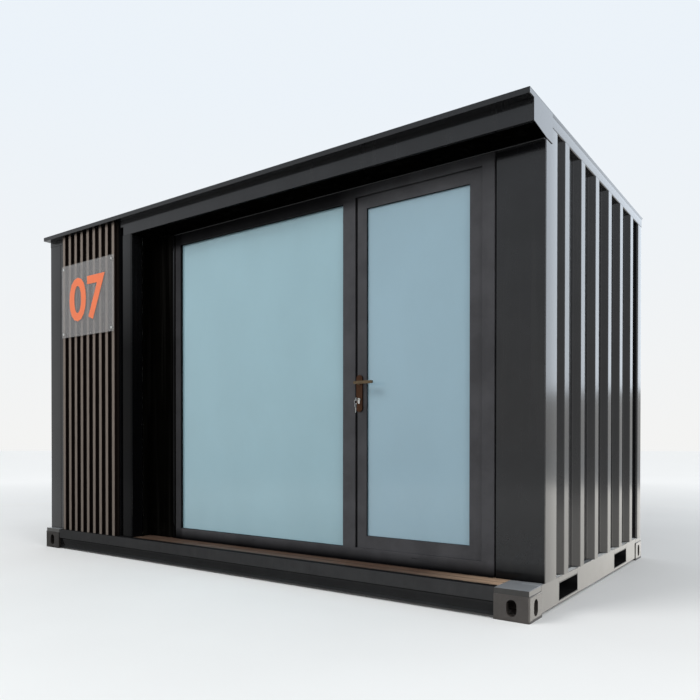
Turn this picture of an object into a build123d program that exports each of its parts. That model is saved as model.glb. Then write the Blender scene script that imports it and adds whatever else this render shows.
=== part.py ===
from build123d import *
import os

# A small steel shipping container made into a cabin, 13 ft long.
# X runs along the front, from left to right, Y goes from the front to the back, and Z is up.
# The origin is on the ground, under the middle of the cabin.  Sizes are in millimetres.

# ---- overall size, over the corner fittings ----
length = 4000.0
width = 2200.0
height = 2450.0
fitting_proud = 4.0         # the corner fittings stand this far outside the frame

# ---- corner fittings ----
fitting_length = 178.0
fitting_width = 162.0
fitting_height = 118.0
fitting_wall = 28.0
fitting_top_wall = 24.0
fitting_corner = 9.0
aperture_width = 51.0
aperture_height = 79.5
aperture_level = 62.0
foot_slot_length = 124.0
foot_slot_width = 63.5
foot_slot_cut = 16.0        # across the corners of the foot slot

# ---- base frame ----
floor_level = 150.0         # top of the base frame and of the floor
ground_gap = 15.0           # the rails stay this far above the ground
rail_wall = 4.5
rail_flange = 40.0
rear_flange = 96.0
rail_fold_level = 82.0      # the lower half of the rail is folded back from here
rail_fold_depth = 12.0
rail_lip_level = 27.0
sill_width = 100.0
corner_plate_depth = 232.0
board_thickness = 28.0
board_gap = 3.0
fork_pocket_width = 300.0
fork_pocket_height = 85.0
fork_tube_wall = 4.0
fork_spacing = 1060.0
cross_member_rows = 7
cross_member_margin = 440.0  # from the cabin's end to the middle of the last row
cross_member_width = 50.0
cross_member_wall = 4.0

# ---- posts and top rails ----
post_wide = 150.0           # the left front post, seen from the front
post_narrow = 100.0
end_post_wide = 177.0       # the right front post, seen from the end
rear_post_wide = 110.0
post_wall = 6.0
post_corner = 12.0
top_rail_width = 60.0
top_rail_depth = 68.0
top_rail_wall = 4.0
top_rail_corner = 7.0
roof_sheet = 3.0
roof_overhang = 13.0        # the roof's front and rear edges stand this far beyond the fittings
roof_trough_depth = 20.0
roof_trough_width = 150.0
roof_trough_slope = 18.0
roof_trough_pitch = 271.0
roof_margin = 110.0
rim_depth = 28.0

# ---- walls ----
wall_setback = 40.0         # the front wall stands this far behind the fittings' faces
recess_depth = 167.0        # the glazed part stands this far behind the front wall
corrugation_depth = 36.0
corrugation_flat = 72.0
corrugation_pitch = 275.0
end_rib_shift = 24.0        # the end walls' ribs sit this far in front of the wall's middle
wall_sheet = 2.0
flat_sheet = 3.0
lining = 60.0
lining_gap = 2.0
roof_build_up = 149.0       # from the ceiling up to the top of the roof

# ---- entrance portal and canopy ----
clad_length = 931.0         # from the left end to the portal post
portal_width = 104.0
fascia_start = 16.0         # the fascia starts this far along the portal post
fascia_drop = 133.0         # from the top of the roof down to the fascia's lower edge
fascia_lip = 20.0
soffit_fold = 8.0
soffit_slope = 14.0
end_plate_tab = 87.0
end_plate_drop = 152.0

# ---- slatted cladding ----
slat_end_margin = 218.0     # from the left end to the cladding
slat_portal_margin = 31.0   # from the cladding to the portal post
slat_edge = 4.0             # of bare backing beside the first slat
slat_pitch = 77.8
slat_width = 32.0
slat_backing = 8.0
slat_depth = 18.0
slat_chamfer = 2.0
shadow_gap_depth = 40.0     # the wall steps back this far between the cladding and the portal post
shadow_gap_cover = 4.0      # how far the cladding's backing reaches over that step

# ---- sign ----
sign_width = 657.0
sign_height = 553.0
sign_shift = 5.0            # to the right of the slats' middle
sign_drop = 538.0           # from the top of the roof down to the sign's middle
sign_thickness = 4.0
sign_standoff = 7.0
sign_corner = 8.0
standoff_radius = 9.0
standoff_inset = 27.0
standoff_cap = 3.0

# ---- window and door frame ----
frame_left_margin = 291.0   # from the portal post to the frame
frame_right_margin = 263.0  # from the frame to the right end
frame_depth = 70.0
frame_proud = 7.0           # in front of the flat panels beside it
window_jamb = 52.0
door_jamb = 68.0
frame_head = 65.0
window_head = 86.0
frame_sill = 77.0
mullion = 88.0
door_opening = 787.0
panel_gap = 8.0
glass_thickness = 24.0
glass_lip = 20.0            # from the frame's face back to the window glass
glass_hold = 12.0           # how far the lips overlap the edge of the glass
glass_clearance = 1.0
drain_slot_length = 30.0
drain_slot_height = 6.0
drain_slot_depth = 3.0
drain_slot_level = 201.0

# ---- door leaf ----
leaf_thickness = 60.0
leaf_lip = 6.0              # thickness of the frame's lip in front of the leaf
leaf_overlap = 8.0          # how far the leaf reaches behind that lip
leaf_front_gap = 5.0
hinge_side_gap = 5.0
lock_side_gap = 9.0
leaf_end_gap = 6.0
leaf_stile = 80.0
door_glass_lip = 12.0

# ---- hinges ----
hinge_radius = 8.0
hinge_pin_radius = 4.0
hinge_running_gap = 0.05
hinge_length = 100.0
hinge_middle = 32.0
hinge_gap = 1.5
hinge_offset = 10.0         # the pin's middle, from the leaf's inner face
hinge_plate = 3.0
hinge_plate_width = 38.0
hinge_inset = 220.0

# ---- lever handle and lock ----
handle_level = 1172.0
handle_inset = 34.0         # from the leaf's edge to the lever's axis
backplate_width = 42.0
backplate_height = 212.0
backplate_thickness = 8.0
backplate_drop = 59.0       # the plate's middle below the lever
collar_radius = 10.0
collar_length = 14.0
collar_running_gap = 0.05
spindle = 8.0
spindle_hole_radius = 11.0
lever_reach = 44.0
lever_length = 130.5
lever_height = 17.0
lever_thickness = 11.0
lever_neck_radius = 7.0
cylinder_drop = 94.0
cylinder_radius = 8.5
cylinder_tail = 10.0
cylinder_tail_cut = 2.5     # across the tail's lower corners
cylinder_height = 33.0
cylinder_proud = 4.0
cylinder_gap = 0.3
key_thickness = 2.2
key_blade_width = 8.5
key_shoulder = 10.0         # from the cylinder to the key's bow
key_bow_radius = 12.0
key_bow_sides = 8
key_hole_radius = 3.0
key_hole_inset = 7.0        # the hole's middle, from the bow's middle
key_ring_radius = 12.0
key_ring_wire = 1.5
key_bite = 0.3
key_blade_length = 31.0

# ---- worked out from the sizes above ----
x_end = length / 2 - fitting_proud
y_side = width / 2 - fitting_proud
wall_face = width / 2 - wall_setback
ceiling_level = height - roof_build_up
rail_length = length - 2 * fitting_length
sill_length = width - 2 * fitting_width
board_bottom = floor_level - board_thickness
rail_top = height - roof_sheet
rail_bottom = rail_top - top_rail_depth
recess_face = -wall_face + recess_depth
panel_front = recess_face - flat_sheet
frame_front = panel_front - frame_proud
frame_back = frame_front + frame_depth
leaf_front = frame_front + leaf_lip + leaf_front_gap
leaf_back = leaf_front + leaf_thickness
deck_back = -y_side + corner_plate_depth
front_post_back = recess_face + end_post_wide
rear_post_front = y_side - rear_post_wide
roof_front = -width / 2 - roof_overhang
lining_x = x_end - corrugation_depth - lining_gap
lining_y = y_side - corrugation_depth - lining_gap

portal_left = -length / 2 + clad_length
portal_right = portal_left + portal_width
fascia_left = portal_left + fascia_start
fascia_top = height - rim_depth
fascia_bottom = height - fascia_drop
soffit_level = fascia_bottom + flat_sheet
end_plate_level = height - end_plate_drop
slat_panel_left = -length / 2 + slat_end_margin
slat_panel_right = portal_left - slat_portal_margin
slat_panel_mid = (slat_panel_left + slat_panel_right) / 2
slat_room = slat_panel_right - slat_panel_left - 2 * slat_edge - slat_width
slat_count = int(slat_room // slat_pitch) + 1
slats_mid = slat_panel_left + slat_edge + slat_width / 2 + (slat_count - 1) / 2 * slat_pitch
sign_x = slats_mid + sign_shift
sign_z = height - sign_drop
frame_left = portal_right + frame_left_margin
frame_right = length / 2 - frame_right_margin

door_right = frame_right - door_jamb
door_left = door_right - door_opening
door_bottom = floor_level + frame_sill
door_top = ceiling_level - frame_head
leaf_left = door_left - leaf_overlap
leaf_right = door_right + leaf_overlap
leaf_bottom = door_bottom - leaf_overlap
leaf_top = door_top + leaf_overlap
window_left = frame_left + window_jamb
window_right = door_left - mullion
window_bottom = floor_level + frame_sill
window_top = ceiling_level - window_head
hinge_x = leaf_right + hinge_side_gap / 2
hinge_y = leaf_back + hinge_offset
handle_x = leaf_left + handle_inset


def block(x0, x1, y0, y1, z0, z1, mode=Mode.ADD):
    """A plain slab between two corners, added to the part that is being built."""
    with Locations(((x0 + x1) / 2, (y0 + y1) / 2, (z0 + z1) / 2)):
        Box(x1 - x0, y1 - y0, z1 - z0, mode=mode)


def slab(x0, x1, y0, y1, z0, z1):
    """A plain slab as a piece of its own."""
    with BuildPart() as piece:
        block(x0, x1, y0, y1, z0, z1)
    return piece.part


def tube(plane, run, size_x, size_y, wall, corner):
    """A rectangular steel tube with rounded corners, run along the plane's normal."""
    with BuildPart() as piece:
        with BuildSketch(plane):
            RectangleRounded(size_x, size_y, corner)
            Rectangle(size_x - 2 * wall, size_y - 2 * wall, mode=Mode.SUBTRACT)
        extrude(amount=run)
    return piece.part


def folded_sheet(plane, run, points, thickness, side=Side.LEFT):
    """A sheet folded along a line of points and run along the plane's normal."""
    with BuildPart() as piece:
        with BuildSketch(plane):
            with BuildLine():
                Polyline(*points)
                offset(amount=thickness, side=side, kind=Kind.INTERSECTION)
            make_face()
        extrude(amount=run)
    return piece.part


# ---------------------------------------------------------------- corner fittings
def corner_fitting(side_x, side_y):
    """A cast corner: a thick box with an oval hole in each outer face and a slot below."""
    x_mid = side_x * (length - fitting_length) / 2
    y_mid = side_y * (width - fitting_width) / 2
    with BuildPart() as fitting:
        with Locations((x_mid, y_mid, fitting_height / 2)):
            Box(fitting_length, fitting_width, fitting_height)
        upright = fitting.edges().filter_by(Axis.Z)
        outer_edge = upright.sort_by(lambda e: side_x * e.center().X + side_y * e.center().Y)[-1]
        fillet(outer_edge, radius=fitting_corner)
        with Locations((x_mid, y_mid, (fitting_height + fitting_wall - fitting_top_wall) / 2)):
            Box(fitting_length - 2 * fitting_wall, fitting_width - 2 * fitting_wall,
                fitting_height - fitting_wall - fitting_top_wall, mode=Mode.SUBTRACT)
        with BuildSketch(Plane.XZ.offset(-side_y * width / 2)):
            with Locations((x_mid, aperture_level)):
                SlotOverall(aperture_height, aperture_width, rotation=90)
        extrude(amount=side_y * 1.5 * fitting_wall, mode=Mode.SUBTRACT)
        with BuildSketch(Plane.YZ.offset(side_x * length / 2)):
            with Locations((y_mid, aperture_level)):
                SlotOverall(aperture_height, aperture_width, rotation=90)
        extrude(amount=-side_x * 1.5 * fitting_wall, mode=Mode.SUBTRACT)
        with BuildSketch() as foot_slot:
            with Locations((x_mid, y_mid)):
                Rectangle(foot_slot_length, foot_slot_width)
            chamfer(foot_slot.vertices(), length=foot_slot_cut)
        extrude(amount=1.5 * fitting_wall, mode=Mode.SUBTRACT)
    return fitting.part


fittings = {
    "corner_fitting_front_left": corner_fitting(-1, -1),
    "corner_fitting_front_right": corner_fitting(1, -1),
    "corner_fitting_rear_left": corner_fitting(-1, 1),
    "corner_fitting_rear_right": corner_fitting(1, 1),
}


# ---------------------------------------------------------------- base frame
def bottom_rail(side_y, flange):
    """The long rail between two fittings, folded from sheet, its lower half set back."""
    folded_face = -y_side + rail_fold_depth
    points = [
        (-y_side + rail_flange, ground_gap),
        (-y_side, ground_gap),
        (folded_face, rail_lip_level),
        (folded_face, rail_fold_level - rail_fold_depth / 2),
        (-y_side, rail_fold_level),
        (-y_side, floor_level),
        (-y_side + flange, floor_level),
    ]
    across_end = Plane((side_y * rail_length / 2, 0, 0), x_dir=(0, -side_y, 0), z_dir=(-side_y, 0, 0))
    return folded_sheet(across_end, rail_length, points, rail_wall, Side.RIGHT)


front_bottom_rail = bottom_rail(-1, rail_flange)
rear_bottom_rail = bottom_rail(1, rear_flange)


fork_tube_height = fork_pocket_height + 2 * fork_tube_wall
fork_tube_bottom = board_bottom - fork_tube_height
fork_inner = (fork_spacing - fork_pocket_width) / 2 - fork_tube_wall
fork_outer = (fork_spacing + fork_pocket_width) / 2 + fork_tube_wall
sill_inner_x = x_end - sill_width
plate_inner_x = length / 2 - fitting_length
beam_end = sill_length / 2


def end_sill(side_x):
    """The welded beam across one end: three hollow lengths, bars over and under the fork tubes, corner plates."""

    def along(x0, x1, y0, y1, z0, z1):
        return slab(min(side_x * x0, side_x * x1), max(side_x * x0, side_x * x1), y0, y1, z0, z1)

    def hollow(y0, y1):
        start = (side_x * (x_end - sill_width / 2), y0, (ground_gap + floor_level) / 2)
        with BuildPart() as beam:
            with BuildSketch(Plane(start, x_dir=(1, 0, 0), z_dir=(0, 1, 0))):
                Rectangle(sill_width, floor_level - ground_gap)
                Rectangle(sill_width - 2 * rail_wall, floor_level - ground_gap - 2 * rail_wall,
                          mode=Mode.SUBTRACT)
            extrude(amount=y1 - y0)
        return beam.part

    pieces_of_sill = [hollow(-beam_end, -fork_outer), hollow(-fork_inner, fork_inner), hollow(fork_outer, beam_end)]
    for y0, y1 in ((-fork_outer, -fork_inner), (fork_inner, fork_outer)):
        pieces_of_sill.append(along(sill_inner_x, x_end, y0, y1, board_bottom, floor_level))
        pieces_of_sill.append(along(sill_inner_x, x_end, y0, y1, ground_gap, fork_tube_bottom))
    with BuildPart() as front_plate:
        with BuildSketch(Plane.XY.offset(fitting_height)):
            Polygon((side_x * plate_inner_x, -y_side), (side_x * x_end, -y_side), (side_x * x_end, -beam_end),
                    (side_x * sill_inner_x, -beam_end), (side_x * sill_inner_x, -y_side + corner_plate_depth),
                    (side_x * plate_inner_x, -y_side + corner_plate_depth), align=None)
        extrude(amount=floor_level - fitting_height)
    pieces_of_sill.append(front_plate.part)
    pieces_of_sill.append(along(plate_inner_x, x_end, beam_end, y_side, fitting_height, floor_level))
    return Compound([solid for piece in pieces_of_sill for solid in piece.solids()])


left_end_sill = end_sill(-1)
right_end_sill = end_sill(1)


def fork_tube(side_y):
    """A flat tube welded from four plates, open at both ends for the forks of a truck."""
    y_mid = side_y * fork_spacing / 2
    y_hollow = fork_pocket_width / 2
    y_out = y_hollow + fork_tube_wall
    plate_top = fork_tube_bottom + fork_tube_wall
    web_top = board_bottom - fork_tube_wall
    plates = [
        slab(-x_end, x_end, y_mid - y_out, y_mid + y_out, fork_tube_bottom, plate_top),
        slab(-x_end, x_end, y_mid - y_out, y_mid + y_out, web_top, board_bottom),
        slab(-x_end, x_end, y_mid - y_out, y_mid - y_hollow, plate_top, web_top),
        slab(-x_end, x_end, y_mid + y_hollow, y_mid + y_out, plate_top, web_top),
    ]
    return Compound([solid for plate in plates for solid in plate.solids()])


front_fork_tube = fork_tube(-1)
rear_fork_tube = fork_tube(1)

rail_web = y_side - rail_fold_depth - rail_wall
cross_member_height = board_bottom - ground_gap - rail_wall
cross_member_pitch = (length - 2 * cross_member_margin) / (cross_member_rows - 1)
with BuildPart() as cross_members:
    for row in range(cross_member_rows):
        row_x = (row - (cross_member_rows - 1) / 2) * cross_member_pitch
        for start, end in ((-rail_web, -fork_outer), (-fork_inner, fork_inner), (fork_outer, rail_web)):
            block(row_x - cross_member_width / 2, row_x + cross_member_width / 2, start, end,
                  board_bottom - cross_member_height, board_bottom)
            block(row_x - cross_member_width / 2 + cross_member_wall, row_x + cross_member_width / 2,
                  start, end, board_bottom - cross_member_height + cross_member_wall,
                  board_bottom - cross_member_wall, mode=Mode.SUBTRACT)

board_front = -y_side + rail_flange + board_gap
board_rear = y_side - rear_flange
with BuildPart() as floor_board:
    with BuildSketch(Plane.XY.offset(board_bottom)):
        with BuildLine():
            Polyline((-plate_inner_x, board_front), (portal_right, board_front), (portal_right, deck_back),
                     (sill_inner_x, deck_back), (sill_inner_x, beam_end),
                     (plate_inner_x, beam_end), (plate_inner_x, board_rear),
                     (-plate_inner_x, board_rear), (-plate_inner_x, beam_end),
                     (-sill_inner_x, beam_end), (-sill_inner_x, deck_back),
                     (-plate_inner_x, deck_back), close=True)
        make_face()
    extrude(amount=board_thickness)

entrance_deck = slab(portal_right, plate_inner_x, board_front, deck_back, board_bottom, floor_level)


# ---------------------------------------------------------------- posts and top rails
def post(x_outer, x_inner, y_front, y_back):
    """A corner post, from the base frame up to the top rails."""
    middle = ((x_outer + x_inner) / 2, (y_front + y_back) / 2, floor_level)
    return tube(Plane(middle), rail_bottom - floor_level,
                abs(x_outer - x_inner), y_back - y_front, post_wall, post_corner)


front_left_post = post(-x_end, -x_end + post_wide, -wall_face, -wall_face + post_narrow)
front_right_post = post(x_end, x_end - post_narrow, recess_face, front_post_back)
rear_left_post = post(-x_end, -x_end + post_narrow, rear_post_front, y_side)
rear_right_post = post(x_end, x_end - post_narrow, rear_post_front, y_side)

rail_mid = (rail_top + rail_bottom) / 2
front_rail_y = -wall_face + flat_sheet
rail_back = front_rail_y + top_rail_width
front_top_rail = tube(Plane((-x_end, front_rail_y + top_rail_width / 2, rail_mid), z_dir=(1, 0, 0)),
                      2 * x_end, top_rail_depth, top_rail_width, top_rail_wall, top_rail_corner)
rear_top_rail = tube(Plane((-x_end + top_rail_width, y_side - top_rail_width / 2, rail_mid), z_dir=(1, 0, 0)),
                     2 * (x_end - top_rail_width), top_rail_depth, top_rail_width,
                     top_rail_wall, top_rail_corner)


def end_top_rail(side_x):
    start = (side_x * (x_end - top_rail_width / 2), rail_back, rail_mid)
    return tube(Plane(start, x_dir=(1, 0, 0), z_dir=(0, 1, 0)), y_side - rail_back,
                top_rail_width, top_rail_depth, top_rail_wall, top_rail_corner)


left_top_rail = end_top_rail(-1)
right_top_rail = end_top_rail(1)

# The roof is one sheet: pressed troughs across it, and a box-shaped nose along the front.
def trough_section(x_mid, top, shrink):
    """The section of one pressed trough, in the XZ plane."""
    half_top = roof_trough_width / 2 - shrink
    half_foot = half_top - roof_trough_slope
    foot = rail_top - roof_trough_depth + shrink
    Polygon((x_mid - half_top, top), (x_mid - half_foot, foot), (x_mid + half_foot, foot),
            (x_mid + half_top, top), align=None)


trough_count = int((2 * x_end - 2 * roof_margin - roof_trough_width) // roof_trough_pitch) + 1
trough_places = [(i - (trough_count - 1) / 2) * roof_trough_pitch for i in range(trough_count)]
trough_run = 2 * (wall_face - roof_margin)
with BuildPart() as roof:
    block(-length / 2, length / 2, roof_front, -roof_front, rail_top, height)
    with BuildSketch(Plane.XZ):
        for place in trough_places:
            trough_section(place, height, 0)
    extrude(amount=trough_run / 2, both=True)
    with BuildSketch(Plane.XZ):
        for place in trough_places:
            trough_section(place, height, roof_sheet)
    extrude(amount=trough_run / 2 - roof_sheet, both=True, mode=Mode.SUBTRACT)
    block(-length / 2, x_end, roof_front, roof_front + roof_sheet, height - rim_depth, height)
    block(-length / 2, x_end, roof_front, -wall_face, height - rim_depth, height - rim_depth + roof_sheet)


# ---------------------------------------------------------------- walls
def corrugated_wall(corner, along, span, shift=0.0):
    """A pressed steel wall, run along a direction from a corner of its outer face, its ribs shifted along it."""
    plane = Plane(corner, x_dir=along, z_dir=(0, 0, 1))
    rib_foot = corrugation_flat / 2 + corrugation_depth
    rib_count = int((span - 2 * rib_foot) // corrugation_pitch) + 1
    first_rib = (span - (rib_count - 1) * corrugation_pitch) / 2 + shift
    points = [(0, corrugation_depth - wall_sheet)]
    for rib in range(rib_count):
        middle = first_rib + rib * corrugation_pitch
        points.append((middle - rib_foot, corrugation_depth - wall_sheet))
        points.append((middle - corrugation_flat / 2, 0))
        points.append((middle + corrugation_flat / 2, 0))
        points.append((middle + rib_foot, corrugation_depth - wall_sheet))
    points.append((span, corrugation_depth - wall_sheet))
    return folded_sheet(plane, rail_bottom - floor_level, points, wall_sheet)


front_left_post_back = -wall_face + post_narrow
right_end_wall = corrugated_wall((x_end, front_post_back, floor_level), (0, 1, 0),
                                 rear_post_front - front_post_back, -end_rib_shift)
left_end_wall = corrugated_wall((-x_end, rear_post_front, floor_level), (0, -1, 0),
                                rear_post_front - front_left_post_back, end_rib_shift)
rear_wall = corrugated_wall((x_end - post_narrow, y_side, floor_level), (-1, 0, 0),
                            2 * (x_end - post_narrow))

gap_left = slat_panel_right - shadow_gap_cover
gap_face = -wall_face + shadow_gap_depth
front_left_wall = folded_sheet(Plane.XY.offset(floor_level), rail_bottom - floor_level,
                               [(-x_end + post_wide, -wall_face), (gap_left, -wall_face),
                                (gap_left, gap_face), (portal_left, gap_face)], flat_sheet)

ceiling_top = ceiling_level + lining
ceiling_front = -wall_face + post_narrow
between_posts = x_end - post_narrow
with BuildPart() as ceiling:
    block(-lining_x, lining_x, front_post_back, rear_post_front, ceiling_level, ceiling_top)
    block(-between_posts, between_posts, rear_post_front, lining_y, ceiling_level, ceiling_top)
    block(-lining_x, between_posts, recess_face, front_post_back, ceiling_level, ceiling_top)
    block(-x_end + post_wide, portal_left, ceiling_front, recess_face, ceiling_level, ceiling_top)

lining_face_x = lining_x - lining
lining_face_y = lining_y - lining
rear_lining = slab(-between_posts, between_posts, lining_face_y, lining_y, floor_level, ceiling_level)
left_lining = slab(-lining_x, -lining_face_x, front_left_post_back, rear_post_front, floor_level, ceiling_level)
right_lining = slab(lining_face_x, lining_x, front_post_back, rear_post_front, floor_level, ceiling_level)
front_lining_back = -wall_face + flat_sheet + lining
with BuildPart() as front_linings:
    block(-x_end + post_wide, gap_left - flat_sheet, -wall_face + flat_sheet, front_lining_back,
          floor_level, ceiling_level)
    block(gap_left - flat_sheet, portal_left, gap_face + flat_sheet, front_lining_back,
          floor_level, ceiling_level)
    block(portal_left, frame_left - panel_gap, recess_face, recess_face + lining, floor_level, ceiling_level)
    block(frame_right + panel_gap, between_posts, recess_face, recess_face + lining,
          floor_level, ceiling_level)

# ---------------------------------------------------------------- portal and canopy
portal_post = tube(Plane(((portal_left + portal_right) / 2, -wall_face + post_narrow / 2, floor_level)),
                   fascia_bottom - floor_level, portal_right - portal_left, post_narrow,
                   post_wall, post_corner)

with BuildPart() as left_recess_panel:
    with BuildSketch(Plane.XY.offset(floor_level)):
        with BuildLine():
            Polyline((portal_right, -wall_face + post_narrow), (portal_right, panel_front),
                     (frame_left - panel_gap, panel_front), (frame_left - panel_gap, recess_face),
                     (portal_right - flat_sheet, recess_face),
                     (portal_right - flat_sheet, -wall_face + post_narrow), close=True)
        make_face()
    extrude(amount=soffit_level - floor_level)

right_recess_panel = slab(frame_right + panel_gap, x_end, panel_front, recess_face,
                          floor_level, soffit_level)

with BuildPart() as canopy_fascia:
    with BuildSketch(Plane.YZ.offset(fascia_left)):
        with BuildLine():
            Polyline((-wall_face, fascia_top), (-wall_face, fascia_bottom),
                     (-wall_face + fascia_lip, fascia_bottom), (-wall_face + fascia_lip, fascia_bottom + flat_sheet),
                     (-wall_face + flat_sheet, fascia_bottom + flat_sheet), (-wall_face + flat_sheet, fascia_top),
                     close=True)
        make_face()
    extrude(amount=x_end - fascia_left)

soffit_back = frame_front - flat_sheet
soffit_low = soffit_level - soffit_slope
canopy_soffit = folded_sheet(Plane.YZ.offset(portal_right), x_end - portal_right,
                             [(-wall_face + flat_sheet, soffit_level), (-wall_face + fascia_lip, soffit_level),
                              (soffit_back, soffit_low), (soffit_back, soffit_low - soffit_fold)],
                             flat_sheet)

with BuildPart() as canopy_end_plate:
    with BuildSketch(Plane.YZ.offset(x_end)):
        with BuildLine():
            Polyline((roof_front, rail_top), (roof_front, fascia_top), (-wall_face, fascia_top),
                     (-wall_face, fascia_bottom), (recess_face, end_plate_level),
                     (recess_face + end_plate_tab, end_plate_level), (recess_face + end_plate_tab, rail_top),
                     close=True)
        make_face()
    extrude(amount=fitting_proud)

# ---------------------------------------------------------------- slats and sign
with BuildPart() as slat_panel:
    with BuildSketch(Plane.XY.offset(floor_level)) as slat_section:
        with Locations((slat_panel_mid, -wall_face - slat_backing / 2)):
            Rectangle(slat_panel_right - slat_panel_left, slat_backing)
        with Locations((slats_mid, -wall_face - slat_backing - slat_depth / 2)):
            with GridLocations(slat_pitch, 0, slat_count, 1):
                Rectangle(slat_width, slat_depth)
        chamfer(slat_section.vertices().group_by(Axis.Y)[0], length=slat_chamfer)
    extrude(amount=fascia_top - floor_level)

slat_front = -wall_face - slat_backing - slat_depth
sign_front = slat_front - sign_standoff - sign_thickness
standoff_spacing_x = sign_width - 2 * standoff_inset
standoff_spacing_z = sign_height - 2 * standoff_inset
with BuildPart() as sign_plate:
    with BuildSketch(Plane((sign_x, slat_front - sign_standoff, sign_z), x_dir=(1, 0, 0), z_dir=(0, -1, 0))):
        RectangleRounded(sign_width, sign_height, sign_corner)
    extrude(amount=sign_thickness)

with BuildPart() as sign_standoffs:
    with BuildSketch(Plane((sign_x, slat_front, sign_z), x_dir=(1, 0, 0), z_dir=(0, -1, 0))):
        with GridLocations(standoff_spacing_x, standoff_spacing_z, 2, 2):
            RegularPolygon(standoff_radius, 6)
    extrude(amount=sign_standoff)


# ---------------------------------------------------------------- window and door frame
def opening(x0, x1, z0, z1, y0, y1):
    """A rectangular hole through the part that is being built."""
    block(x0, x1, y0, y1, z0, z1, mode=Mode.SUBTRACT)


lip_back = frame_front + glass_lip
with BuildPart() as frame:
    block(frame_left, frame_right, frame_front, frame_back, floor_level, ceiling_level)
    opening(window_left, window_right, window_bottom, window_top, frame_front, frame_back)
    opening(window_left - glass_hold, window_right + glass_hold, window_bottom - glass_hold,
            window_top + glass_hold, lip_back, frame_back)
    opening(door_left, door_right, door_bottom, door_top, frame_front, frame_back)
    opening(leaf_left - lock_side_gap, leaf_right + hinge_side_gap, leaf_bottom - leaf_end_gap,
            leaf_top + leaf_end_gap, frame_front + leaf_lip, frame_back)
    for slot_x in (window_left + 0.5 * (window_right - window_left), (door_left + door_right) / 2):
        opening(slot_x - drain_slot_length / 2, slot_x + drain_slot_length / 2,
                drain_slot_level - drain_slot_height / 2, drain_slot_level + drain_slot_height / 2,
                frame_front, frame_front + drain_slot_depth)


def glass_pane(x0, x1, z0, z1, y_front):
    """A sealed double pane that fills its rebate behind the lips."""
    reach = glass_hold - glass_clearance
    return slab(x0 - reach, x1 + reach, y_front, y_front + glass_thickness, z0 - reach, z1 + reach)


def glazing_bead(x0, x1, z0, z1, y_front, y_back):
    """The snapped-in ring that holds the pane from inside."""
    with BuildPart() as bead:
        block(x0 - glass_hold, x1 + glass_hold, y_front, y_back, z0 - glass_hold, z1 + glass_hold)
        opening(x0, x1, z0, z1, y_front, y_back)
    return bead.part


window_glass = glass_pane(window_left, window_right, window_bottom, window_top, lip_back)
window_bead = glazing_bead(window_left, window_right, window_bottom, window_top,
                           lip_back + glass_thickness, frame_back)

# ---------------------------------------------------------------- door leaf
glass_left = leaf_left + leaf_stile
glass_right = leaf_right - leaf_stile
glass_bottom = leaf_bottom + leaf_stile
glass_top = leaf_top - leaf_stile
cylinder_level = handle_level - cylinder_drop
leaf_lip_back = leaf_front + door_glass_lip


def across(y, z=handle_level):
    """A plane that faces the back, with its middle on the handle's line at a level."""
    return Plane((handle_x, y, z), x_dir=(-1, 0, 0), z_dir=(0, 1, 0))


def lock_section(gap):
    """The outline of the lock cylinder: a round barrel with a narrow tail below, its lower corners cut."""
    Circle(cylinder_radius + gap)
    side = cylinder_tail / 2 + gap
    foot = cylinder_radius - cylinder_height - gap
    Polygon((-side, 0), (-side, foot + cylinder_tail_cut), (cylinder_tail_cut - side, foot),
            (side - cylinder_tail_cut, foot), (side, foot + cylinder_tail_cut), (side, 0), align=None)


with BuildPart() as leaf:
    block(leaf_left, leaf_right, leaf_front, leaf_back, leaf_bottom, leaf_top)
    opening(glass_left, glass_right, glass_bottom, glass_top, leaf_front, leaf_back)
    opening(glass_left - glass_hold, glass_right + glass_hold, glass_bottom - glass_hold,
            glass_top + glass_hold, leaf_lip_back, leaf_back)
    with BuildSketch(across(leaf_front)):
        Circle(spindle_hole_radius)
    extrude(amount=leaf_thickness, mode=Mode.SUBTRACT)
    with BuildSketch(across(leaf_front, cylinder_level)):
        lock_section(cylinder_gap)
    extrude(amount=leaf_thickness, mode=Mode.SUBTRACT)

door_glass = glass_pane(glass_left, glass_right, glass_bottom, glass_top, leaf_lip_back)
door_bead = glazing_bead(glass_left, glass_right, glass_bottom, glass_top,
                         leaf_lip_back + glass_thickness, leaf_back)


# ---------------------------------------------------------------- hinges
hinge_levels = [leaf_bottom + hinge_inset, (leaf_bottom + leaf_top) / 2, leaf_top - hinge_inset]
frame_plate_back = frame_back + hinge_plate
knuckle_end = hinge_middle / 2 + hinge_gap
with BuildPart() as hinge_frame_halves:
    for level in hinge_levels:
        for side in (-1, 1):
            z_near = level + side * knuckle_end
            z_far = level + side * hinge_length / 2
            with Locations((hinge_x, hinge_y, (z_near + z_far) / 2)):
                Cylinder(hinge_radius, abs(z_far - z_near))
            block(hinge_x, hinge_x + hinge_radius, frame_back, hinge_y, min(z_near, z_far), max(z_near, z_far))
        with Locations((hinge_x, hinge_y, level)):
            Cylinder(hinge_pin_radius, hinge_length)
        block(leaf_right + hinge_side_gap + hinge_gap, leaf_right + hinge_side_gap + hinge_plate_width,
              frame_back, frame_plate_back, level - hinge_length / 2, level + hinge_length / 2)

with BuildPart() as hinge_leaf_halves:
    for level in hinge_levels:
        with Locations((hinge_x, hinge_y, level)):
            Cylinder(hinge_radius, hinge_middle)
        block(hinge_x - hinge_radius, hinge_x, leaf_back, hinge_y, level - hinge_middle / 2,
              level + hinge_middle / 2)
        plate_end = hinge_x - hinge_radius + hinge_gap / 2
        block(plate_end - hinge_plate_width, plate_end, leaf_back, leaf_back + hinge_plate,
              level - hinge_length / 2, level + hinge_length / 2)
        with Locations((hinge_x, hinge_y, level)):
            Cylinder(hinge_pin_radius + hinge_running_gap, hinge_length, mode=Mode.SUBTRACT)


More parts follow.
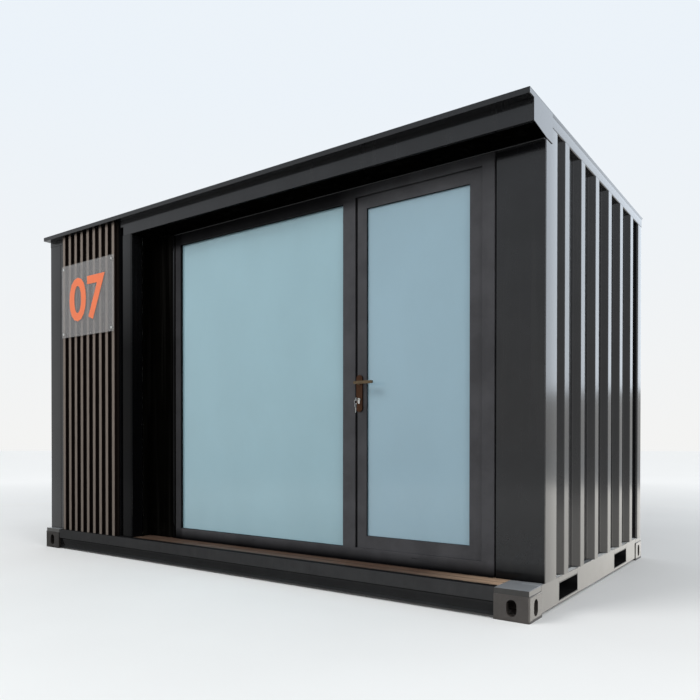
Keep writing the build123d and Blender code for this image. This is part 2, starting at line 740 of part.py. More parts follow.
# ---------------------------------------------------------------- handle and lock
def backplate(y_face):
    """A long plate with round ends, bored for the lever's collar and cut for the lock."""
    with BuildPart() as plate:
        with BuildSketch(across(y_face, handle_level - backplate_drop)):
            SlotOverall(backplate_height, backplate_width, rotation=90)
        extrude(amount=backplate_thickness)
        with BuildSketch(across(y_face)):
            Circle(collar_radius + collar_running_gap)
        extrude(amount=backplate_thickness, mode=Mode.SUBTRACT)
        with BuildSketch(across(y_face, cylinder_level)):
            lock_section(cylinder_gap)
        extrude(amount=backplate_thickness, mode=Mode.SUBTRACT)
    return plate.part


outer_backplate = backplate(leaf_front - backplate_thickness)
inner_backplate = backplate(leaf_back)

with BuildPart() as lever:
    with Locations((handle_x, (leaf_front + leaf_back) / 2, handle_level)):
        Box(spindle, leaf_thickness, spindle)
    for face, outward in ((leaf_front, -1), (leaf_back, 1)):
        with Locations((handle_x, face + outward * collar_length / 2, handle_level)):
            Cylinder(collar_radius, collar_length, rotation=(90, 0, 0))
        arm_face = face + outward * (backplate_thickness + lever_reach - lever_thickness / 2)
        with BuildSketch(Plane((handle_x, face, handle_level), x_dir=(1, 0, 0), z_dir=(0, outward, 0))):
            Circle(lever_neck_radius)
        extrude(amount=abs(arm_face - face))
        arm_middle = handle_x + lever_length / 2 - lever_height / 2
        with BuildSketch(Plane((arm_middle, arm_face, handle_level), x_dir=(1, 0, 0),
                               z_dir=(0, outward, 0))):
            SlotOverall(lever_length, lever_height)
        extrude(amount=lever_thickness)

with BuildPart() as lock_cylinder:
    with BuildSketch(across(leaf_front - backplate_thickness - cylinder_proud, cylinder_level)):
        lock_section(0)
    extrude(amount=leaf_thickness + 2 * (backplate_thickness + cylinder_proud))

# One key sits in the lock, with a ring through its bow, and a second key hangs from the ring.
key_face = leaf_front - backplate_thickness - cylinder_proud
key_bow_y = key_face - key_shoulder - key_bow_radius
ring_y = key_bow_y - key_hole_inset
ring_z = cylinder_level - key_hole_radius - key_ring_radius + key_ring_wire - key_bite
hung_hole_z = ring_z - key_ring_radius + key_ring_wire - key_hole_radius - key_bite
hung_bow_z = hung_hole_z - key_hole_inset
key_plane = Plane((handle_x - key_thickness / 2, 0, 0), x_dir=(0, 1, 0), z_dir=(1, 0, 0))
with BuildPart() as door_keys:
    with BuildSketch(key_plane):
        with Locations((key_bow_y, cylinder_level), (ring_y, hung_bow_z)):
            RegularPolygon(key_bow_radius, key_bow_sides)
        with Locations(((key_face + key_bow_y) / 2, cylinder_level)):
            Rectangle(key_face - key_bow_y, key_blade_width)
        with Locations((ring_y, hung_bow_z - (key_bow_radius + key_blade_length) / 2)):
            Rectangle(key_blade_width, key_bow_radius + key_blade_length)
        with Locations((ring_y, cylinder_level), (ring_y, hung_hole_z)):
            Circle(key_hole_radius, mode=Mode.SUBTRACT)
    extrude(amount=key_thickness)
    with BuildSketch(Plane((handle_x, ring_y + key_ring_wire / 2, ring_z), x_dir=(1, 0, 0), z_dir=(0, -1, 0))):
        Circle(key_ring_radius)
        Circle(key_ring_radius - key_ring_wire, mode=Mode.SUBTRACT)
    extrude(amount=key_ring_wire)

# ---------------------------------------------------------------- write every piece
pieces = {
    **fittings,
    "front_bottom_rail": front_bottom_rail,
    "rear_bottom_rail": rear_bottom_rail,
    "left_end_sill": left_end_sill,
    "right_end_sill": right_end_sill,
    "front_fork_tube": front_fork_tube,
    "rear_fork_tube": rear_fork_tube,
    "cross_members": cross_members.part,
    "floor_board": floor_board.part,
    "entrance_deck": entrance_deck,
    "front_left_post": front_left_post,
    "front_right_post": front_right_post,
    "rear_left_post": rear_left_post,
    "rear_right_post": rear_right_post,
    "front_top_rail": front_top_rail,
    "rear_top_rail": rear_top_rail,
    "left_top_rail": left_top_rail,
    "right_top_rail": right_top_rail,
    "roof_sheet": roof.part,
    "right_end_wall": right_end_wall,
    "left_end_wall": left_end_wall,
    "rear_wall": rear_wall,
    "front_left_wall": front_left_wall,
    "ceiling": ceiling.part,
    "rear_lining": rear_lining,
    "left_lining": left_lining,
    "right_lining": right_lining,
    "front_linings": front_linings.part,
    "portal_post": portal_post,
    "left_recess_panel": left_recess_panel.part,
    "right_recess_panel": right_recess_panel,
    "canopy_fascia": canopy_fascia.part,
    "canopy_soffit": canopy_soffit,
    "canopy_end_plate": canopy_end_plate.part,
    "slat_panel": slat_panel.part,
    "sign_plate": sign_plate.part,
    "sign_standoffs": sign_standoffs.part,
    "window_door_frame": frame.part,
    "window_glass": window_glass,
    "window_bead": window_bead,
    "door_leaf": leaf.part,
    "door_glass": door_glass,
    "door_bead": door_bead,
    "hinge_frame_halves": hinge_frame_halves.part,
    "hinge_leaf_halves": hinge_leaf_halves.part,
    "outer_backplate": outer_backplate,
    "inner_backplate": inner_backplate,
    "lever_handles": lever.part,
    "lock_cylinder": lock_cylinder.part,
    "door_keys": door_keys.part,
}
os.makedirs("parts", exist_ok=True)
for name, piece in pieces.items():
    piece.label = name
    export_step(piece, f"parts/{name}.step")
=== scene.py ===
import math
from collections import namedtuple

import bpy
import bmesh
from mathutils import Matrix, Vector


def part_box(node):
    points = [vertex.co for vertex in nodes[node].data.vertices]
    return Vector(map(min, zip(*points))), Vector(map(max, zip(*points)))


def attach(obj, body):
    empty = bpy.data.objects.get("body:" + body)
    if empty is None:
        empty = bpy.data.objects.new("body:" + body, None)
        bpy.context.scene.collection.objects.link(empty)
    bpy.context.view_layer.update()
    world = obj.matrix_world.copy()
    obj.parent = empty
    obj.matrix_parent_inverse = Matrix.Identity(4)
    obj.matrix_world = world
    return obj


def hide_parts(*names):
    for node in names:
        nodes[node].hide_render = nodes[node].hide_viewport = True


# A small steel container cabin: painted steel body, glazed front with a hinged door, slatted cladding.
# Lengths in this file are in metres.  X runs along the front, Y to the back and Z up.

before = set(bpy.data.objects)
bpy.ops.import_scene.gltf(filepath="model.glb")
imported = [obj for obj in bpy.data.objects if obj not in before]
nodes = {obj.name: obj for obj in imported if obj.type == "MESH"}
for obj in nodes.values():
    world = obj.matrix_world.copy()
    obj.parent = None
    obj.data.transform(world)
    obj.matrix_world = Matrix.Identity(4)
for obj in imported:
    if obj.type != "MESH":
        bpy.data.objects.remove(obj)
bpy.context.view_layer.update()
scene = bpy.context.scene
X, Y, Z = 0, 1, 2


# ------------------------------------------------------------------ wiring for materials
class Wiring:
    """Adds nodes to one tree and joins them up."""

    def __init__(self, tree):
        self.tree = tree

    def add(self, kind, **settings):
        node = self.tree.nodes.new(kind)
        for name, value in settings.items():
            setattr(node, name, value)
        return node

    def feed(self, socket, value):
        """Puts a number or a colour on a socket, or joins another socket to it."""
        if isinstance(value, bpy.types.NodeSocket):
            self.tree.links.new(value, socket)
        elif value is not None:
            socket.default_value = value

    def calc(self, operation, first, second=None, clamp=False):
        node = self.add("ShaderNodeMath", operation=operation, use_clamp=clamp)
        for socket, value in zip(node.inputs, (first, second)):
            self.feed(socket, value)
        return node.outputs[0]

    def between(self, value, low, high, to_low=0.0, to_high=1.0):
        node = self.add("ShaderNodeMapRange", clamp=True)
        for socket, number in zip(node.inputs, (value, low, high, to_low, to_high)):
            self.feed(socket, number)
        return node.outputs[0]

    def blend(self, factor, first, second):
        node = self.add("ShaderNodeMix", data_type="RGBA")
        self.feed(node.inputs[0], factor)
        self.feed(node.inputs[6], first)
        self.feed(node.inputs[7], second)
        return node.outputs[2]

    def noise(self, place, scale, detail=3.0, roughness=0.5, distortion=0.0):
        node = self.add("ShaderNodeTexNoise")
        self.feed(node.inputs["Vector"], place)
        self.feed(node.inputs["Scale"], scale)
        node.inputs["Detail"].default_value = detail
        node.inputs["Roughness"].default_value = roughness
        node.inputs["Distortion"].default_value = distortion
        return node.outputs["Fac"]

    def stretch(self, place, x, y, z):
        node = self.add("ShaderNodeMapping")
        self.feed(node.inputs["Vector"], place)
        node.inputs["Scale"].default_value = (x, y, z)
        return node.outputs[0]

    def split(self, place):
        node = self.add("ShaderNodeSeparateXYZ")
        self.feed(node.inputs[0], place)
        return node.outputs

    def facing(self, axis):
        """How far the surface faces along an axis, from -1 to 1."""
        return self.split(self.add("ShaderNodeNewGeometry").outputs["Normal"])[axis]

    def from_joint(self, place, axis, pitch):
        """The distance to the nearest joint between boards, as a share of the boards' pitch."""
        boards = self.calc("DIVIDE", self.split(place)[axis], pitch)
        across = self.calc("FRACT", self.calc("ADD", boards, BOARDS_AHEAD))
        return self.calc("ABSOLUTE", self.calc("SUBTRACT", across, 0.5))

    def group(self, tree, **values):
        """Places a shared group; underscores in a name stand for spaces."""
        node = self.add("ShaderNodeGroup", node_tree=tree)
        for name, value in values.items():
            self.feed(node.inputs[name.replace("_", " ")], value)
        return node.outputs


BOARDS_AHEAD = 50.0     # whole boards added before the count is cut to its fraction, to keep it positive
NUMBER, COLOUR, PLACE = "NodeSocketFloat", "NodeSocketColor", "NodeSocketVector"


def solid(colour, factor=1.0):
    """A colour times a factor, with the alpha that a socket asks for."""
    return tuple(min(1.0, factor * part) for part in colour) + (1,)


def shared_effect(name, inputs, outputs):
    """An empty node group with named sockets, and its wiring, entry and result."""
    tree = bpy.data.node_groups.new(name, "ShaderNodeTree")
    for label, kind, value in inputs:
        socket = tree.interface.new_socket(name=label, in_out="INPUT", socket_type=kind)
        if value is not None:
            socket.default_value = value
    for label, kind in outputs:
        tree.interface.new_socket(name=label, in_out="OUTPUT", socket_type=kind)
    entry = tree.nodes.new("NodeGroupInput")
    result = tree.nodes.new("NodeGroupOutput")
    return tree, Wiring(tree), entry.outputs, result.inputs


def make_paint_skin():
    """Sprayed paint on sheet steel: fine orange peel and the slow waves of a thin sheet."""
    tree, w, given, out = shared_effect(
        "paint_skin",
        [("Place", PLACE, None), ("Peel Scale", NUMBER, 420.0), ("Wave Scale", NUMBER, 2.2),
         ("Wave Share", NUMBER, 0.8)],
        [("Height", NUMBER), ("Mottle", NUMBER)])
    peel = w.noise(given["Place"], given["Peel Scale"], 2.0, 0.5)
    wave = w.noise(given["Place"], given["Wave Scale"], 1.0, 0.4)
    w.feed(out["Height"], w.calc("ADD", w.calc("MULTIPLY", peel, 0.010),
                                 w.calc("MULTIPLY", wave, given["Wave Share"])))
    w.feed(out["Mottle"], w.noise(given["Place"], 6.0, 4.0, 0.6))
    return tree


def make_weathering():
    """Dust low down and on upward faces, faint streaks where rain runs down, and a mask of the upward faces."""
    tree, w, given, out = shared_effect(
        "weathering",
        [("Place", PLACE, None), ("Low Level", NUMBER, 0.02), ("High Level", NUMBER, 0.55),
         ("Patch Start", NUMBER, 0.38), ("Settled Share", NUMBER, 1.0)],
        [("Dust", NUMBER), ("Streaks", NUMBER), ("Upward", NUMBER)])
    level = w.split(given["Place"])[Z]
    near_ground = w.between(level, given["High Level"], given["Low Level"])
    facing_up = w.facing(Z)
    upward = w.calc("MULTIPLY", w.between(facing_up, 0.55, 1.0), given["Settled Share"])
    patches = w.between(w.noise(given["Place"], 9.0, 6.0, 0.65), given["Patch Start"], 0.72)
    settled = w.calc("MAXIMUM", w.calc("MULTIPLY", near_ground, near_ground), upward)
    w.feed(out["Dust"], w.calc("MULTIPLY", settled, patches, clamp=True))
    w.feed(out["Upward"], w.between(facing_up, 0.7, 0.98))
    runs = w.noise(w.stretch(given["Place"], 26.0, 26.0, 0.7), 1.0, 4.0, 0.55)
    w.feed(out["Streaks"], w.between(runs, 0.52, 0.78))
    return tree


def make_painted_shade_range():
    """1 on open paint, less towards a lower and an upper level: painted shade, darkening the paint where shade
    falls.
    """
    tree, w, given, out = shared_effect(
        "painted_shade_range",
        [("Along", NUMBER, None), ("Low Start", NUMBER, 0.0), ("Low End", NUMBER, 0.1),
         ("High Start", NUMBER, 9.0), ("High End", NUMBER, 9.1), ("Low Share", NUMBER, 0.3),
         ("High Share", NUMBER, 0.3)],
        [("Unshaded", NUMBER)])
    below = w.between(given["Along"], given["Low Start"], given["Low End"], given["Low Share"], 1.0)
    above = w.between(given["Along"], given["High Start"], given["High End"], 1.0, given["High Share"])
    w.feed(out["Unshaded"], w.calc("MULTIPLY", below, above))
    return tree


def make_edge_wear():
    """A mask along worn outer edges, broken up by noise."""
    tree, w, given, out = shared_effect(
        "edge_wear",
        [("Place", PLACE, None), ("Reach", NUMBER, 0.003), ("Amount", NUMBER, 0.5)],
        [("Wear", NUMBER)])
    rounded = w.add("ShaderNodeBevel", samples=4)
    w.feed(rounded.inputs["Radius"], given["Reach"])
    normal = w.add("ShaderNodeNewGeometry").outputs["Normal"]
    alike = w.add("ShaderNodeVectorMath", operation="DOT_PRODUCT")
    w.feed(alike.inputs[0], rounded.outputs[0])
    w.feed(alike.inputs[1], normal)
    edge = w.between(alike.outputs["Value"], 0.985, 0.80)
    broken = w.between(w.noise(given["Place"], 55.0, 5.0, 0.7), 0.42, 0.66)
    w.feed(out["Wear"], w.calc("MULTIPLY", w.calc("MULTIPLY", edge, broken), given["Amount"], clamp=True))
    return tree


def make_wood_grain():
    """Long grain in two colours, with fine pores along it.  The grain runs along the place's Z."""
    tree, w, given, out = shared_effect(
        "wood_grain",
        [("Place", PLACE, None), ("Light", COLOUR, (0.4, 0.3, 0.2, 1)), ("Dark", COLOUR, (0.2, 0.1, 0.05, 1)),
         ("Ring Scale", NUMBER, 14.0), ("Contrast", NUMBER, 0.6)],
        [("Color", COLOUR), ("Height", NUMBER), ("Grain", NUMBER)])
    bend = w.noise(w.stretch(given["Place"], 1.0, 1.0, 0.06), given["Ring Scale"], 3.0, 0.55, 0.8)
    rings = w.calc("FRACT", w.calc("MULTIPLY", bend, 7.0))
    pores = w.between(w.noise(w.stretch(given["Place"], 1.0, 1.0, 0.02), 900.0, 3.0, 0.6), 0.35, 0.65)
    grain = w.calc("ADD", w.calc("MULTIPLY", rings, 0.55), w.calc("MULTIPLY", pores, 0.45))
    share = w.calc("MULTIPLY", grain, given["Contrast"], clamp=True)
    w.feed(out["Color"], w.blend(share, given["Light"], given["Dark"]))
    w.feed(out["Height"], w.calc("MULTIPLY", grain, -1.0))
    w.feed(out["Grain"], grain)
    return tree


PAINT_SKIN = make_paint_skin()
WEATHERING = make_weathering()
PAINTED_SHADE_RANGE = make_painted_shade_range()
EDGE_WEAR = make_edge_wear()
WOOD_GRAIN = make_wood_grain()

# ------------------------------------------------------------------ materials
DUST = (0.22, 0.20, 0.175)
# pale bluish colour of the painted highlight on upward faces
PAINTED_TOP_LIGHT = (0.50, 0.53, 0.56)
BOARD_DUST = (0.42, 0.37, 0.31)
RAIN_STREAK = (0.28, 0.27, 0.25)
RUBBED_STEEL = (0.10, 0.10, 0.10)
# near black, towards which painted shade darkens the paint
PAINTED_SHADE = (0.0008, 0.0008, 0.0010)
DARK_JOINT = (0.006, 0.004, 0.003)
GREY_JOINT = (0.25, 0.25, 0.24)
PAINT_ROUGHNESS = 0.45

# Painted shade: low and high each hold the start and end of a change along the axis, and the share of unshaded
# paint beyond it.
# The upper share may fade along X to another: fade holds the start, the end and that share.
PaintedShade = namedtuple("PaintedShade", "axis low high fade", defaults=((9.0, 9.1, 1.0), None))


def start_material(name):
    """A material with its wiring, its shader and the object's own coordinates."""
    material = bpy.data.materials.new(name)
    material.use_nodes = True
    w = Wiring(material.node_tree)
    shader = material.node_tree.nodes["Principled BSDF"]
    place = w.add("ShaderNodeTexCoord").outputs["Object"]
    return material, w, shader, place


def bump(w, shader, height, strength, distance):
    node = w.add("ShaderNodeBump")
    node.inputs["Strength"].default_value = strength
    node.inputs["Distance"].default_value = distance
    w.feed(node.inputs["Height"], height)
    w.feed(shader.inputs["Normal"], node.outputs[0])


def sprayed_metal(name, colour, coat, coat_roughness, dust_share, wave=0.8, wear=0.0, dust_full=0.02,
                  dust_end=0.55, patch_start=0.38, settled=1.0, painted_top_light=0.0, painted_shade=()):
    """Dark base paint under a clear coat, with mottle, dust, rain streaks, painted shade and thin worn edges.

    Dust is full below one level and ends at another.  Settled is its share on upward faces.  The paler
    top colour on upward faces is a painted highlight, as where the sky lights them.
    """
    material, w, shader, place = start_material(name)
    skin = w.group(PAINT_SKIN, Place=place, Wave_Share=wave)
    weather = w.group(WEATHERING, Place=place, Low_Level=dust_full, High_Level=dust_end,
                      Patch_Start=patch_start, Settled_Share=settled)
    tone = w.blend(w.between(skin["Mottle"], 0.35, 0.65), solid(colour, 0.80), solid(colour, 1.15))
    dusty = w.blend(w.calc("MULTIPLY", weather["Dust"], dust_share), tone, solid(DUST))
    shade = w.blend(w.calc("MULTIPLY", weather["Streaks"], 0.02), dusty, solid(RAIN_STREAK))
    # painted highlight: upward faces turn paler and bluish, as where the sky lights them
    if painted_top_light:
        shade = w.blend(w.calc("MULTIPLY", weather["Upward"], painted_top_light), shade, solid(PAINTED_TOP_LIGHT))
    if wear:
        worn = w.group(EDGE_WEAR, Place=place, Amount=wear)
        shade = w.blend(worn["Wear"], shade, solid(RUBBED_STEEL))
    dulled = w.calc("MULTIPLY", weather["Dust"], 0.9 * dust_share)
    gleam = w.calc("SUBTRACT", coat, dulled, clamp=True)
    # painted shade: each band darkens the paint and dulls its coat towards a level along an axis
    for band in painted_shade:
        low_start, low_end, low_share = band.low
        high_start, high_end, high_share = band.high
        if band.fade:
            fade_start, fade_end, fade_share = band.fade
            high_share = w.between(w.split(place)[X], fade_start, fade_end, high_share, fade_share)
        unshaded = w.group(PAINTED_SHADE_RANGE, Along=w.split(place)[band.axis],
                        Low_Start=low_start, Low_End=low_end, Low_Share=low_share,
                        High_Start=high_start, High_End=high_end, High_Share=high_share)["Unshaded"]
        shade = w.blend(unshaded, solid(PAINTED_SHADE), shade)
        gleam = w.calc("MULTIPLY", gleam, unshaded)
    w.feed(shader.inputs["Base Color"], shade)
    rough = w.between(skin["Mottle"], 0.3, 0.7, PAINT_ROUGHNESS * 0.85, PAINT_ROUGHNESS * 1.2)
    dull = w.calc("ADD", rough, w.calc("MULTIPLY", weather["Dust"], 0.3), clamp=True)
    w.feed(shader.inputs["Roughness"], dull)
    shader.inputs["Specular IOR Level"].default_value = 0.0
    w.feed(shader.inputs["Coat Weight"], gleam)
    shader.inputs["Coat Roughness"].default_value = coat_roughness
    bump(w, shader, skin["Height"], 0.35, 0.0012)
    return material


def grained_wood(name, light, dark, turn, ring_scale, contrast, roughness, joint=None, gloss=0.5, faded_and_sunlit=None):
    """Wood whose grain runs along X or Z of the object.

    Joint is an axis and the boards' pitch.  The last argument is a painted pool of sunlight: an axis, where
    the painted light starts and is full, and the lit colour.
    """
    material, w, shader, place = start_material(name)
    aligned = place
    if turn == "X":
        mapping = w.add("ShaderNodeMapping")
        w.feed(mapping.inputs["Vector"], place)
        mapping.inputs["Rotation"].default_value = (0, math.radians(90), 0)
        aligned = mapping.outputs[0]
    grain = w.group(WOOD_GRAIN, Place=aligned, Light=solid(light), Dark=solid(dark), Ring_Scale=ring_scale,
                    Contrast=contrast)
    weather = w.group(WEATHERING, Place=place, Low_Level=-0.2, High_Level=0.0)
    shade = w.blend(w.calc("MULTIPLY", weather["Dust"], 0.06), grain["Color"], solid(BOARD_DUST))
    height = grain["Height"]
    # a painted pool of sunlight: the boards turn paler towards one end, most where the grain is light
    if faded_and_sunlit:
        axis, start, full, pale = faded_and_sunlit
        toward_sunlit_end = w.between(w.split(place)[axis], start, full)
        share = w.calc("MULTIPLY", toward_sunlit_end, w.between(grain["Grain"], 0.8, 0.2, 0.4, 1.0))
        shade = w.blend(share, shade, solid(pale))
    if joint:
        axis, pitch = joint
        line = w.between(w.from_joint(place, axis, pitch), 0.0040 / pitch, 0.0022 / pitch)
        shade = w.blend(line, shade, solid(DARK_JOINT))
        height = w.calc("SUBTRACT", height, w.calc("MULTIPLY", line, 2.0))
    w.feed(shader.inputs["Base Color"], shade)
    w.feed(shader.inputs["Roughness"], w.between(grain["Grain"], 0.0, 1.0, roughness, roughness + 0.18))
    shader.inputs["Specular IOR Level"].default_value = gloss
    bump(w, shader, height, 0.5, 0.0006)
    return material


def moulded_slat(name, face_light, face_dark, side, roughness):
    """Composite slats: brushed paler faces to the front, and dark sides, partly their moulded colour and partly
    painted shade.
    """
    material, w, shader, place = start_material(name)
    grain = w.group(WOOD_GRAIN, Place=place, Light=solid(face_light), Dark=solid(face_dark), Ring_Scale=30.0,
                    Contrast=0.7)
    # faces that look along -Y keep the grain; the sides take the dark colour, partly painted shade
    brushed = w.between(w.facing(Y), -0.88, -0.99)
    w.feed(shader.inputs["Base Color"], w.blend(brushed, solid(side), grain["Color"]))
    w.feed(shader.inputs["Roughness"], w.between(grain["Grain"], 0.0, 1.0, roughness, roughness + 0.18))
    shader.inputs["Specular IOR Level"].default_value = 0.12
    bump(w, shader, grain["Height"], 0.5, 0.0006)
    return material


def metal(name, colour, roughness):
    """Bare metal with fine brushing along Z and soft handling marks."""
    material, w, shader, place = start_material(name)
    shader.inputs["Metallic"].default_value = 1.0
    lines = w.noise(w.stretch(place, 1.0, 1.0, 0.03), 2600.0, 2.0, 0.6)
    marks = w.noise(place, 38.0, 5.0, 0.6)
    dull = w.calc("MULTIPLY", w.between(marks, 0.4, 0.7), 0.4)
    w.feed(shader.inputs["Base Color"], w.blend(dull, solid(colour), solid(colour, 0.62)))
    w.feed(shader.inputs["Roughness"], w.between(marks, 0.3, 0.7, roughness * 0.8, roughness * 1.35))
    bump(w, shader, lines, 0.18, 0.0003)
    return material


def soft_rubber(name, colour, paler):
    """Dull rubber or sealant with fine specks, which are paler by a factor."""
    material, w, shader, place = start_material(name)
    specks = w.noise(place, 700.0, 3.0, 0.6)
    w.feed(shader.inputs["Base Color"], w.blend(w.between(specks, 0.35, 0.75), solid(colour),
                                                solid(colour, paler)))
    w.feed(shader.inputs["Roughness"], w.between(specks, 0.3, 0.7, 0.55, 0.75))
    shader.inputs["Specular IOR Level"].default_value = 0.06
    bump(w, shader, specks, 0.25, 0.0004)
    return material


def pane_glass(name, colour):
    """Grey-blue sealed glass with the faint waves and smears of a real pane."""
    material, w, shader, place = start_material(name)
    smear = w.noise(w.stretch(place, 1.0, 1.0, 0.6), 3.2, 5.0, 0.55)
    w.feed(shader.inputs["Base Color"], w.blend(w.between(smear, 0.35, 0.7), solid(colour),
                                                solid(colour, 1.05)))
    w.feed(shader.inputs["Roughness"], w.between(smear, 0.35, 0.75, 0.03, 0.08))
    shader.inputs["Transmission Weight"].default_value = 0.25
    shader.inputs["IOR"].default_value = 1.5
    bump(w, shader, w.noise(place, 1.4, 1.0, 0.4), 0.2, 0.002)
    return material


def plain_board(name, colour, roughness, joint):
    """Faced board with a fine print, and thin joints every so often along one axis."""
    material, w, shader, place = start_material(name)
    print_noise = w.noise(place, 900.0, 3.0, 0.6)
    patches = w.noise(place, 1.6, 3.0, 0.5)
    base = w.blend(w.between(patches, 0.35, 0.65), solid(colour, 0.94), solid(colour))
    axis, pitch = joint
    line = w.calc("LESS_THAN", w.from_joint(place, axis, pitch), 0.0012 / pitch)
    w.feed(shader.inputs["Base Color"], w.blend(w.calc("MULTIPLY", line, 0.6), base, solid(GREY_JOINT)))
    w.feed(shader.inputs["Roughness"], w.between(print_noise, 0.3, 0.7, roughness, roughness + 0.1))
    bump(w, shader, w.calc("SUBTRACT", w.calc("MULTIPLY", print_noise, 0.2), line), 0.4, 0.0006)
    return material


def frosted_sheet(name, clear, hazy):
    """Clear plastic sheet with a light haze and a few rubbed patches."""
    material, w, shader, place = start_material(name)
    rubbed = w.noise(place, 14.0, 5.0, 0.6)
    w.feed(shader.inputs["Base Color"], w.blend(w.between(rubbed, 0.35, 0.7), solid(clear), solid(hazy)))
    w.feed(shader.inputs["Roughness"], w.between(rubbed, 0.35, 0.7, 0.10, 0.22))
    w.feed(shader.inputs["Alpha"], w.between(rubbed, 0.3, 0.7, 0.22, 0.29))
    bump(w, shader, w.noise(place, 260.0, 3.0, 0.5), 0.1, 0.0004)
    return material


def cut_vinyl(name, colour):
    """Coloured film, cut to shape, with a soft sheen."""
    material, w, shader, place = start_material(name)
    faded_and_sunlit = w.noise(place, 9.0, 4.0, 0.6)
    w.feed(shader.inputs["Base Color"], w.blend(w.between(faded_and_sunlit, 0.35, 0.7), solid(colour),
                                                solid(colour, 1.1)))
    w.feed(shader.inputs["Roughness"], w.between(faded_and_sunlit, 0.3, 0.7, 0.32, 0.42))
    return material


PAINT = (0.0095, 0.0097, 0.0110)
WHITE_BOARD = (0.80, 0.80, 0.78)
CHARCOAL = sprayed_metal("gloss_charcoal_paint", PAINT, coat=0.82, coat_roughness=0.17, dust_share=0.12,
                         wear=0.25)
CHARCOAL_SHEET = sprayed_metal("charcoal_painted_sheet", PAINT, coat=0.80, coat_roughness=0.12,
                               dust_share=0.12, wave=1.2)
# a darker copy of the charcoal paint for the portal post, with painted shade deepening from 2.2 m down to 1.5 m
PORTAL_SHADED_PAINT = sprayed_metal("portal_paint_with_painted_shade", (0.0060, 0.0062, 0.0070), coat=0.66, coat_roughness=0.08,
                             dust_share=0.05, painted_shade=[PaintedShade(Z, (1.50, 2.20, 0.24))])
# near-black paint without a coat, painted shade for the left recess panel and the soffit, which lie in deep
# shade
RECESS_PAINTED_SHADE = sprayed_metal("recess_painted_shade", (0.0012, 0.0011, 0.0009), coat=0.0, coat_roughness=0.06,
                             dust_share=0.02, wave=0.6)
# the end sheets turn paler and warmer towards their foot, over their whole height
END_SHEET = sprayed_metal("charcoal_painted_end_sheet", PAINT, coat=0.82, coat_roughness=0.17,
                          dust_share=0.10, wave=1.2, dust_full=-0.1, dust_end=1.1, patch_start=-0.2)
# painted shade darkens the rail towards its left end and along its lower fold
RAIL_STEEL = sprayed_metal("charcoal_painted_rail", (0.0230, 0.0230, 0.0240), coat=0.62, coat_roughness=0.09,
                           dust_share=0.03, wear=0.2, settled=0.0,
                           painted_shade=[PaintedShade(X, (-2.2, 1.7, 0.45)), PaintedShade(Z, (0.062, 0.088, 0.50))])
# the sills' upward faces take a painted highlight
SILL_STEEL = sprayed_metal("charcoal_painted_sill", (0.024, 0.0235, 0.0225), coat=1.0, coat_roughness=0.08,
                           dust_share=0.16, wear=0.2, patch_start=-0.2, painted_top_light=0.45)
# painted shade darkens the castings towards the left end
CAST_STEEL = sprayed_metal("painted_casting", (0.062, 0.054, 0.049), coat=0.90, coat_roughness=0.12,
                           dust_share=0.10, wave=0.3, wear=0.4, patch_start=0.1,
                           painted_shade=[PaintedShade(X, (-2.0, 1.7, 0.40))])
# painted shade darkens the frame near the deck, at its head under the canopy (more over the window than the
# door) and on its left jamb
FRAME_COAT = sprayed_metal("satin_frame_coat", (0.0520, 0.0510, 0.0550), coat=0.45, coat_roughness=0.28,
                           dust_share=0.03, wave=0.15, dust_full=0.1, dust_end=0.4,
                           painted_shade=[PaintedShade(Z, (0.160, 0.228, 0.06), (2.170, 2.222, 0.16), (0.75, 1.05, 0.80)),
                                  PaintedShade(X, (-0.620, -0.600, 0.50))])
# painted shade darkens the right recess panel near the deck and under the canopy
RECESS_PANEL = sprayed_metal("charcoal_painted_recess_panel", PAINT, coat=0.80, coat_roughness=0.12,
                             dust_share=0.12, wave=1.2,
                             painted_shade=[PaintedShade(Z, (0.155, 0.250, 0.14), (2.22, 2.31, 0.6))])
LINING = plain_board("white_lining_board", WHITE_BOARD, 0.45, joint=(X, 1.0))
END_LINING = plain_board("white_end_lining_board", WHITE_BOARD, 0.45, joint=(Y, 1.0))
PLY = grained_wood("sealed_floor_ply", (0.46, 0.33, 0.21), (0.27, 0.17, 0.10), "X", 9.0, 0.7, 0.42)
# the deck takes a painted pool of sunlight towards its right end
DECK = grained_wood("brown_deck_board", (0.128, 0.075, 0.049), (0.040, 0.024, 0.017), "X", 16.0, 0.8, 0.36,
                    joint=(Y, 0.0628), faded_and_sunlit=(X, 1.35, 1.82, (0.62, 0.43, 0.29)))
# the slats' near-black sides are partly their moulded colour and partly painted shade
SLAT = moulded_slat("slat_composite", (0.215, 0.178, 0.152), (0.136, 0.112, 0.094), (0.0060, 0.0030, 0.0022),
                    0.50)
SLAT_GROOVE = grained_wood("dark_groove_board", (0.0040, 0.0022, 0.0016), (0.0018, 0.0010, 0.0008), "Z", 30.0,
                           0.6, 0.65, gloss=0.08)
ACRYLIC = frosted_sheet("hazy_clear_sheet", (0.47, 0.455, 0.45), (0.41, 0.40, 0.395))
ORANGE_FILM = cut_vinyl("orange_film", (0.80, 0.17, 0.055))
STEEL = metal("bright_brushed_steel", (0.62, 0.62, 0.60), 0.28)
BRONZE = metal("dark_bronze", (0.060, 0.030, 0.018), 0.36)
LEVER_BRONZE = metal("rubbed_bronze", (0.120, 0.088, 0.055), 0.30)
GASKET = soft_rubber("black_gasket_rubber", (0.0030, 0.0030, 0.0032), 2.2)
SEALANT = soft_rubber("pale_grey_sealant", (0.66, 0.67, 0.66), 1.1)
WINDOW_PANE = pane_glass("window_pane_glass", (0.405, 0.61, 0.68))
DOOR_PANE = pane_glass("door_pane_glass", (0.39, 0.565, 0.655))

